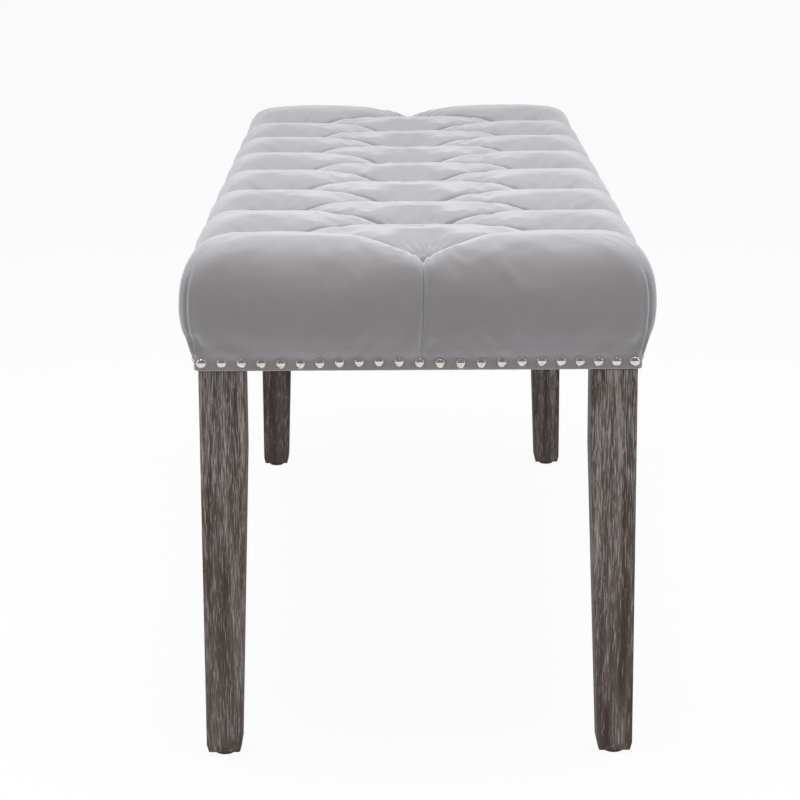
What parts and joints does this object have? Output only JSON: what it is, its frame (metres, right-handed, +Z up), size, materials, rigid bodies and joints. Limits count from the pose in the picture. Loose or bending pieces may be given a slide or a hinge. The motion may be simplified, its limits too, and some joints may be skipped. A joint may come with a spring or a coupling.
{
  "type": "upholstered bench",
  "caption": "Long bench with a diamond-tufted grey velvet seat, nailhead trim round the seat's foot and square tapered washed wooden legs on round glides.",
  "frame": {"origin": "on the floor, under the middle of the seat", "axes": "+X along the bench, +Y across it, +Z up"},
  "size_m": [1.1, 0.4054, 0.4642],
  "materials": {
    "velvet": "short-pile velvet, pale cool grey",
    "washed_wood": "dark brown, wire-brushed, with a grey wash in the grain",
    "glide_plastic": "moulded, black",
    "trim_nickel": "polished nickel",
    "frame_wood": "planed, unfinished",
    "plywood": "sanded, unfinished",
    "dowel_wood": "fluted, unfinished",
    "foam": "open-cell foam",
    "wadding": "polyester wadding",
    "twine": "twisted nylon",
    "dust_cloth": "spun-bonded cloth, black",
    "zinc_steel": "bright zinc plate"
  },
  "bodies": {
    "root": {"corner_block_back_left": "frame_wood", "corner_block_back_right": "frame_wood", "corner_block_front_left": "frame_wood", "corner_block_front_right": "frame_wood", "cross_rail_left": "frame_wood", "cross_rail_right": "frame_wood", "cross_rail_screws": "zinc_steel", "deck_screws": "zinc_steel", "dust_cover": "dust_cloth", "dust_cover_staples": "zinc_steel", "foam_pad": "foam", "glide_back_left": "glide_plastic", "glide_back_right": "glide_plastic", "glide_front_left": "glide_plastic", "glide_front_right": "glide_plastic", "glide_nails": "zinc_steel", "hanger_bolts": "zinc_steel", "leg_back_left": "washed_wood", "leg_back_right": "washed_wood", "leg_front_left": "washed_wood", "leg_front_right": "washed_wood", "locating_dowels": "dowel_wood", "rail_back": "frame_wood", "rail_dowels": "dowel_wood", "rail_front": "frame_wood", "rail_left_end": "frame_wood", "rail_right_end": "frame_wood", "seat_deck": "plywood", "t_nuts": "zinc_steel", "trim_nails_back": "trim_nickel", "trim_nails_front": "trim_nickel", "trim_nails_left_end": "trim_nickel", "trim_nails_right_end": "trim_nickel", "tuft_ties": "twine", "tuft_washers": "zinc_steel", "velvet_cover": "velvet", "wadding": "wadding"}
  },
  "joints": []
}
